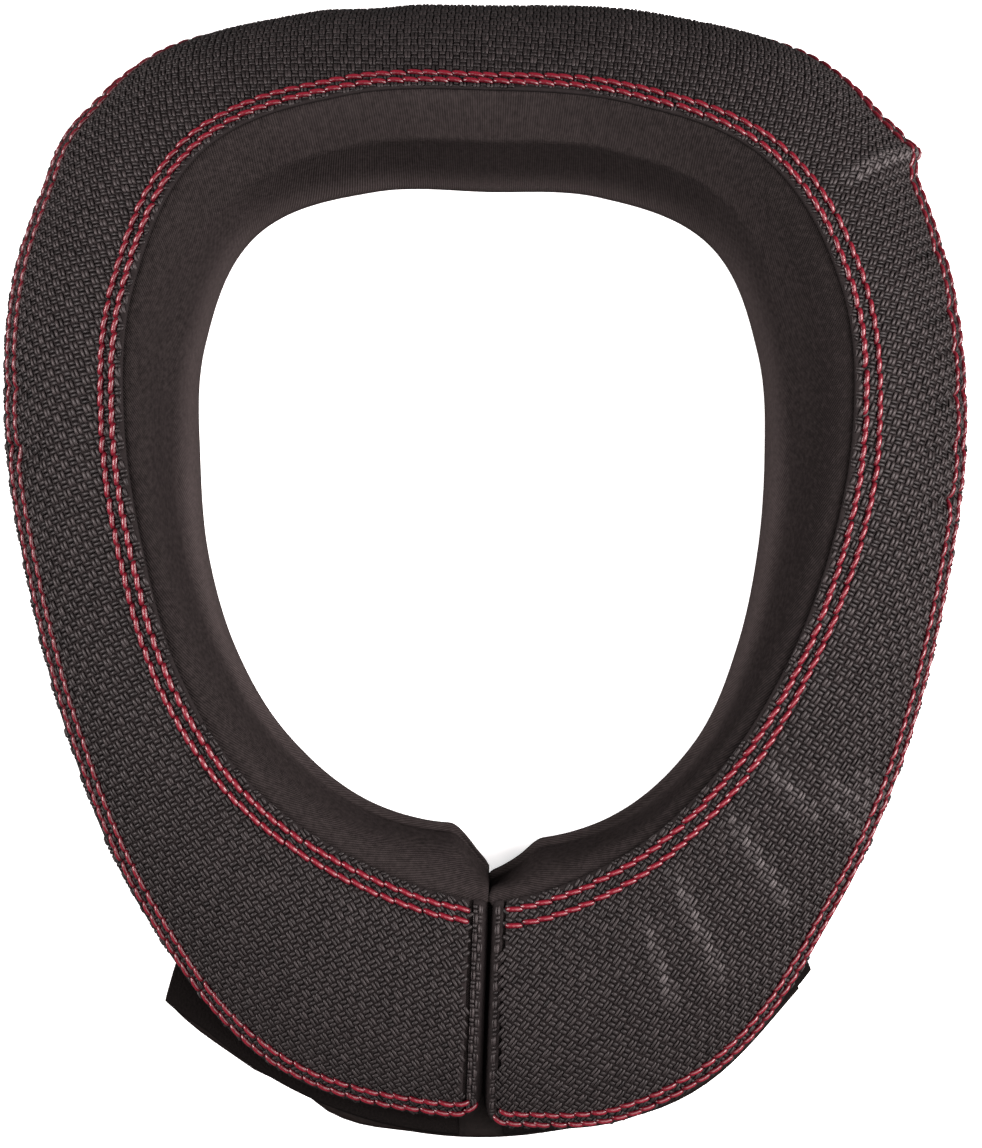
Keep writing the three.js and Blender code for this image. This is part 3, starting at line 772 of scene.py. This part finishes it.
def stitch_row(sewn):
    """One row of stitches along a line of shares across the cover: for each stitch, rings of points round an
    arch that follows the fabric, a little askew to the row. Returns the points, the twist of the thread and
    how near each point is to the thread's crown, where the thread is painted lighter as a painted highlight."""
    turn = np.linspace(sewn["from"], sewn["to"], 4000)
    row = np.interp(turn, cover.turn, np.arange(len(cover.turn)))
    column = np.interp(turn, cover.turn, stitch_rows[sewn["row"]]) * (len(cover.share) - 1)
    line = at_index(cover.points, row, column)
    way = np.concatenate([[0], np.cumsum(np.linalg.norm(np.diff(line, axis=0), axis=1))])
    count = int(way[-1] / STITCH_PITCH)
    pitch = way[-1] / count
    centre = (np.arange(count) + 0.5 + draw.normal(0, STITCH_UNEVEN, count)) * pitch
    at = centre[:, None] + 0.5 * pitch * STITCH_WAY[None]
    at = way[-1] * (at - at.min()) / (at.max() - at.min())
    row, column = np.interp(at, way, row), np.interp(at, way, column)
    place, up = at_index(cover.points, row, column), at_index(cover.normals, row, column)
    along = np.gradient(place, axis=1)
    along /= np.linalg.norm(along, axis=-1, keepdims=True) + 1e-9
    aside = np.cross(along, up)
    askew = STITCH_SKEW * STITCH_WAY[None, :, None] + draw.normal(0, STITCH_UNEVEN, (count, 1, 1))
    middle = place + STITCH_RISE[None, :, None] * up + askew * aside
    angle = 2 * np.pi * np.arange(THREAD_SIDES) / THREAD_SIDES
    ring = np.cos(angle)[:, None] * aside[:, :, None]
    ring = ring + THREAD_TALL * np.sin(angle)[:, None] * up[:, :, None]
    points = middle[:, :, None] + sewn["radius"] * STITCH_GIRTH[None, :, None, None] * ring
    twist = PLIES * angle[None, None] / (2 * np.pi) + PLY_TWIST * STITCH_WAY[None, :, None] + sewn["phase"]
    # Near the crown the thread is painted lighter, as a painted highlight.
    crown = np.clip(np.sin(angle), 0, 1) ** 3 * STITCH_GIRTH[:, None] ** 6
    return points, np.broadcast_to(twist, points.shape[:3]), np.broadcast_to(crown, points.shape[:3])


def sew(name, rows):
    """A piece with the stitches of several rows."""
    points, twist, crown = (np.concatenate(values) for values in zip(*rows))
    size = points.shape[1] * points.shape[2]
    first = size * np.arange(len(points))[:, None]
    bar = grid_faces(points.shape[1], points.shape[2], True)
    faces = [corners for face in bar for corners in (first + face[::-1]).tolist()]
    piece = add_piece(name, points, faces, thread)
    set_value(piece, "ply", twist)
    set_value(piece, "crown", crown)


for name, rows in STITCH_ROWS.items():
    sew(name, [stitch_row(sewn) for sewn in rows])

# End facings
# Narrow strips of the same coarse fabric that close the two ends of the ring at the front split. They are
# rolled over its edges, and both lap over the top, the left one a little further than the right.

LAP_LEFT = 1.85  # in degrees
LAP_RIGHT = 1.6
LAP_THICK = 1.5
LAP_EDGE = 0.7  # depth of the lap's upper edge below the cover's face
FACE_ROUND = 1.9  # across the edge that is rolled into the split
FACE_FALL = 4.5  # and how far it falls there
FACE_DEPTH = (5.4, 7.0)  # below the rolled edge, where the faces start to swell and where they touch
FACE_BACK = 0.66  # from the end face to the back of the strip, in degrees
FOOT_IN = 5.5
FOOT_UP = 2
REACH_IN = 3.0  # behind the knit, where the faces touch
REACH_FADE = 12  # power with which that fades away from the inner edge
LAP_ROUND = 0.1  # of the lap's upper edge, in degrees
LOW_END = {"from": 4, "over": 16, "least": 0.05}  # heights at which a low end takes less depth
FACING_SHADES = (0.75, 0.4)  # of the raised yarns and the lower ones, which are painted darker as painted shade
FACE_TOUCH = -0.115  # in degrees past the end face: the soft faces swell until they touch


def rolled_fall(distance):
    """How far the rolled edge of a facing falls at a distance from the end face: a quarter of an ellipse."""
    return FACE_FALL / FACE_ROUND * corner_fall(distance, FACE_ROUND)


def within_room(ring, share, depth):
    """A depth below the cover for each share of the way across it. Past the facing's own thickness it goes
    less deep near the hem, where the end is low."""
    height = below_cover(ring, share, 0)[0][..., 1] - ring.lift[:, None]
    room = np.clip((height - LOW_END["from"]) / LOW_END["over"], LOW_END["least"], 1)
    return (np.minimum(depth, LAP_THICK) + np.maximum(depth - LAP_THICK, 0) * room)[..., None]


def facing(name, node, side, lap):
    """A closed strip along an end: across it, a path from under its lap over the top, round the edge and down
    the end face to the foot, and back up behind; along it, the cover's curve. side is -1 for the left end.
    Returns the strip and the yarns that float over its top."""
    share = np.linspace(0, 1, 65)
    edge = np.linspace(1, 0, 7)[:-1] ** 2
    edge_turn = np.degrees(FACE_ROUND * edge / END_ARM)
    # The path's turn from the end face, its depth below the cover, and its share of the way down to the foot
    path = [(lap, LAP_THICK, 0), (lap, LAP_EDGE, 0), (lap - LAP_ROUND, GROUND_DEPTH, 0)]
    path += [(turn, GROUND_DEPTH + rolled_fall(FACE_ROUND * e), 0) for turn, e in zip(edge_turn, edge)]
    path += [(0.0, FACE_DEPTH[0], 0), (FACE_TOUCH, FACE_DEPTH[1], 0), (FACE_TOUCH, 0.0, 0.5), (0.0, 0.0, 1)]
    path += [(FACE_BACK, 0.0, 1), (FACE_BACK, LAP_THICK, 0.5), (FACE_BACK, LAP_THICK, 0)]
    rows = []
    for turn_off, depth, down in path:
        turn = np.array([turn_off if side < 0 else 360 - turn_off])
        ring = ring_section(np.clip(turn, 0, 360))
        top = below_cover(ring, share, within_room(ring, share, depth))[0]
        # Where the faces touch, they reach in behind the knit.
        top[..., 0] -= (REACH_IN if turn_off == FACE_TOUCH else 0) * (1 - share) ** REACH_FADE
        reach = top[..., 0] - top[:, :1, 0]
        reach = reach * np.minimum((ring.outer - FOOT_IN - top[:, :1, 0]) / reach[:, -1:], 1)
        foot = pair(top[:, :1, 0] + reach, ring.lift + FOOT_UP)
        rows.append(stand(turn[:, None], top * (1 - down) + foot * down)[0])
    points = np.stack(rows, axis=1)
    faces = grid_faces(*points.shape[:2], True)
    if side < 0:
        faces = [face[::-1] for face in faces]
    strip = add_piece(name, points, faces, ground)
    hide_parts(node)
    off = np.linspace(0.03, lap * 0.97, 14)
    off = off if side < 0 else off[::-1]
    top = cover_grid(off if side < 0 else 360 - off, 129)
    from_face = np.radians(off) * END_ARM
    fall = within_room(top.ring, top.share, GROUND_DEPTH + rolled_fall(from_face)[:, None]) - GROUND_DEPTH
    points = top.points - fall * grid_normals(top.points)
    down_way = np.cumsum(np.linalg.norm(np.diff(points, axis=1, prepend=points[:, :1]), axis=-1), axis=1)
    flat = np.stack([np.broadcast_to(-side * from_face[:, None], down_way.shape), down_way], axis=-1)
    rows = (0, len(flat) - 1)
    crease_wear_and_shading = np.zeros(flat.shape[:2])
    shades = np.tile(FACING_SHADES, (len(flat), 1))
    return strip, float_yarns(name + "_yarns", points, grid_normals(points), flat, rows, crease_wear_and_shading, shades)


for strip, strip_yarns in (
    facing("facing_left", "end_panel_left", -1, LAP_LEFT),
    facing("facing_right", "end_panel_right", 1, LAP_RIGHT),
):
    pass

# Loop patches
# Two soft patches of brushed loop fabric sewn flat under the front of the ring, one on each side of the
# split, which the strap holds on to. Their square outer ends show past the hem.

STRAP_CENTRE = (-1.7, -42.8)
PATCH_ARCS = (112.8, 76)  # outer and inner radius
PATCH_BOTTOM = 2.1
PATCH_THICK = 1.5
SLAB_ROUND = 0.6  # rounding of the edges
END_FADE = 8  # power with which a crescent's straight ends pass into its arcs


def flat_crescent(arcs, turns_outer, turns_inner, bottom, thick, waves=()):
    """A closed flat crescent with softly rounded edges: across it, from its outer to its inner arc; along it,
    between two straight ends. Its height falls to the middle along a quarter round at every edge. Waves move
    its outer edge in and out."""
    outer, inner = arcs
    spread = 0.5 - 0.5 * np.cos(np.pi * np.linspace(0, 1, 13))
    near_start, near_stop = np.linspace(0, 0.02, 5)[:-1], np.linspace(0.98, 1, 5)[1:]
    fine = np.concatenate([near_start, np.linspace(0.02, 0.98, 41), near_stop])
    f, t = np.meshgrid(spread, fine, indexing="ij")

    def end_edge(which):
        """A straight end across the crescent, as complex numbers from its centre."""
        near = outer * np.exp(1j * np.radians(turns_outer[which]))
        far = inner * np.exp(1j * np.radians(turns_inner[which]))
        return near + (far - near) * spread[:, None]

    starts, stops = end_edge(0), end_edge(1)
    plain = outer + (inner - outer) * spread[:, None]
    radius = plain + (np.abs(starts) - plain) * (1 - t) ** END_FADE
    radius = radius + (np.abs(stops) - plain) * t**END_FADE
    turn = np.angle(starts) * (1 - t) + np.angle(stops) * t
    radius = radius + fold_shift(waves, np.degrees(turn)) * (1 - f)
    edge = np.minimum(np.minimum(f, 1 - f) * (outer - inner), np.minimum(t, 1 - t) * outer)
    rise = thick / 2 * np.sqrt(1 - (1 - np.clip(edge / SLAB_ROUND, 0, 1)) ** 2)
    x = STRAP_CENTRE[0] - radius * np.sin(turn)
    y = STRAP_CENTRE[1] - radius * np.cos(turn)
    middle = bottom + thick / 2
    top = np.stack([x, y, middle + rise], axis=-1)
    under = np.stack([x, y, middle - rise], axis=-1)
    return np.stack([top, under])


def add_slab(name, node, sides, material):
    """A piece from the top and the underside of a slab, which meet along its edges."""
    rows, columns = sides.shape[1:3]
    quads = np.array(grid_faces(rows, columns, False))
    index = np.arange(rows * columns).reshape(rows, columns)
    below = index + rows * columns
    below[0], below[-1], below[:, 0], below[:, -1] = index[0], index[-1], index[:, 0], index[:, -1]
    faces = np.concatenate([quads, below.ravel()[quads][:, ::-1]])
    used, faces = np.unique(faces, return_inverse=True)
    piece = add_piece(name, sides.reshape(-1, 3)[used], faces.reshape(-1, 4)[:, ::-1].tolist(), material)
    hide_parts(node)
    return piece


LOOP_DARK = (0.0018, 0.0015, 0.0014)
LOOP_LIGHT = (0.0065, 0.0052, 0.005)
loop_fabric, tree, surface = shader("brushed_loop", Roughness=0.9, Specular_IOR_Level=0.03)
place = add_node(tree, "ShaderNodeTexCoord").outputs["Object"]
pile = add_node(tree, "ShaderNodeTexNoise", [("Vector", place), ("Scale", 1400.0), ("Detail", 3.0)])
pile = pile.outputs["Fac"]
tree.links.new(blend_colours(tree, pile, LOOP_DARK, LOOP_LIGHT), surface.inputs["Base Color"])
roughen(tree, surface, pile, 0.0004)
PATCH_WAVES = [{"turn": 49, "before": 9, "after": 9, "rise": 2.3}]
left_patch = flat_crescent(PATCH_ARCS, (3, 48.5), (5, 72), PATCH_BOTTOM, PATCH_THICK, PATCH_WAVES)
right_patch = flat_crescent(PATCH_ARCS, (-53, -3), (-74, -5), PATCH_BOTTOM, PATCH_THICK)
for patch in (
    add_slab("patch_left", "loop_patch_left", left_patch, loop_fabric),
    add_slab("patch_right", "loop_patch_right", right_patch, loop_fabric),
):
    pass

# Closure strap
# A stiff woven tape with hooks on its upper face, lying across under the front. It presses on to both loop
# patches and holds the split closed.

STRAP_ARCS = (113.4, 75)
STRAP_THICK = 1.8
TAPE_DARK = (0.002, 0.0013, 0.0011)
TAPE_LIGHT = (0.008, 0.0054, 0.0047)
tape, tree, surface = shader("woven_tape", Roughness=0.6, Specular_IOR_Level=0.08)
place = add_node(tree, "ShaderNodeTexCoord").outputs["Object"]
thread_lines = add_node(tree, "ShaderNodeTexNoise", [("Vector", place), ("Scale", 700.0), ("Detail", 2.0)])
thread_lines = thread_lines.outputs["Fac"]
tree.links.new(blend_colours(tree, thread_lines, TAPE_DARK, TAPE_LIGHT), surface.inputs["Base Color"])
roughen(tree, surface, thread_lines, 0.0002)
STRAP_WAVES = [
    {"turn": -29, "before": 20, "after": 20, "rise": 3.2},
    {"turn": 18, "before": 9, "after": 9, "rise": 1.3},
    {"turn": 27, "before": 6, "after": 6, "rise": -1.6},
    {"turn": 47, "before": 12, "after": 12, "rise": 1.4},
]
strap = flat_crescent(STRAP_ARCS, (-50, 46.5), (-62, 59), 0, STRAP_THICK, STRAP_WAVES)
strap_tape = add_slab("strap_tape", "closure_strap", strap, tape)

# Floor and light
# A wide white floor, so bright that it shows as plain white, which throws no light back on to the collar. One
# large soft light stands above, to the front and right, with a lower softbox on each side and weak light all
# around.

FLOOR_HALF = 6
FLOOR_DROP = 0.0002
FLOOR_GLOW = 0.6
ALL_AROUND = 0.15
floor_mesh = bpy.data.meshes.new("floor")
corners = [(x * FLOOR_HALF, y * FLOOR_HALF, -FLOOR_DROP) for x, y in ((-1, -1), (1, -1), (1, 1), (-1, 1))]
floor_mesh.from_pydata(corners, [], [(0, 1, 2, 3)])
floor_paint, _, surface = shader("white_floor", Roughness=0.9, Specular_IOR_Level=0.0)
surface.inputs["Base Color"].default_value = (0.9, 0.9, 0.9, 1)
surface.inputs["Emission Color"].default_value = (1, 1, 1, 1)
surface.inputs["Emission Strength"].default_value = FLOOR_GLOW
floor_mesh.materials.append(floor_paint)
floor = bpy.data.objects.new("floor", floor_mesh)
bpy.context.scene.collection.objects.link(floor)
floor.visible_diffuse = False
floor.visible_glossy = False

world = bpy.data.worlds.new("studio")
world.use_nodes = True
sky = world.node_tree.nodes["Background"]
sky.inputs["Color"].default_value = (1, 1, 1, 1)
sky.inputs["Strength"].default_value = ALL_AROUND
bpy.context.scene.world = world

LIGHT_COLOUR = (1.0, 0.92, 0.915)
SOFTBOXES = [
    {"name": "overhead", "place": (0.75, -0.6, 1.8), "wide": 2.0, "tall": 2.0, "power": 56},
    {"name": "left_box", "place": (-1.25, 0.0, 0.65), "wide": 0.6, "tall": 1.0, "power": 35},
    {"name": "right_box", "place": (1.25, 0.0, 0.65), "wide": 0.6, "tall": 1.0, "power": 42},
]
for row in SOFTBOXES:
    light = bpy.data.lights.new(row["name"], "AREA")
    light.shape = "RECTANGLE"
    light.size = row["wide"]
    light.size_y = row["tall"]
    light.energy = row["power"]
    light.color = LIGHT_COLOUR
    lamp = bpy.data.objects.new(row["name"], light)
    lamp.location = row["place"]
    lamp.rotation_euler = Vector(row["place"]).to_track_quat("Z", "Y").to_euler()
    bpy.context.scene.collection.objects.link(lamp)

bpy.context.scene.view_settings.view_transform = "Standard"
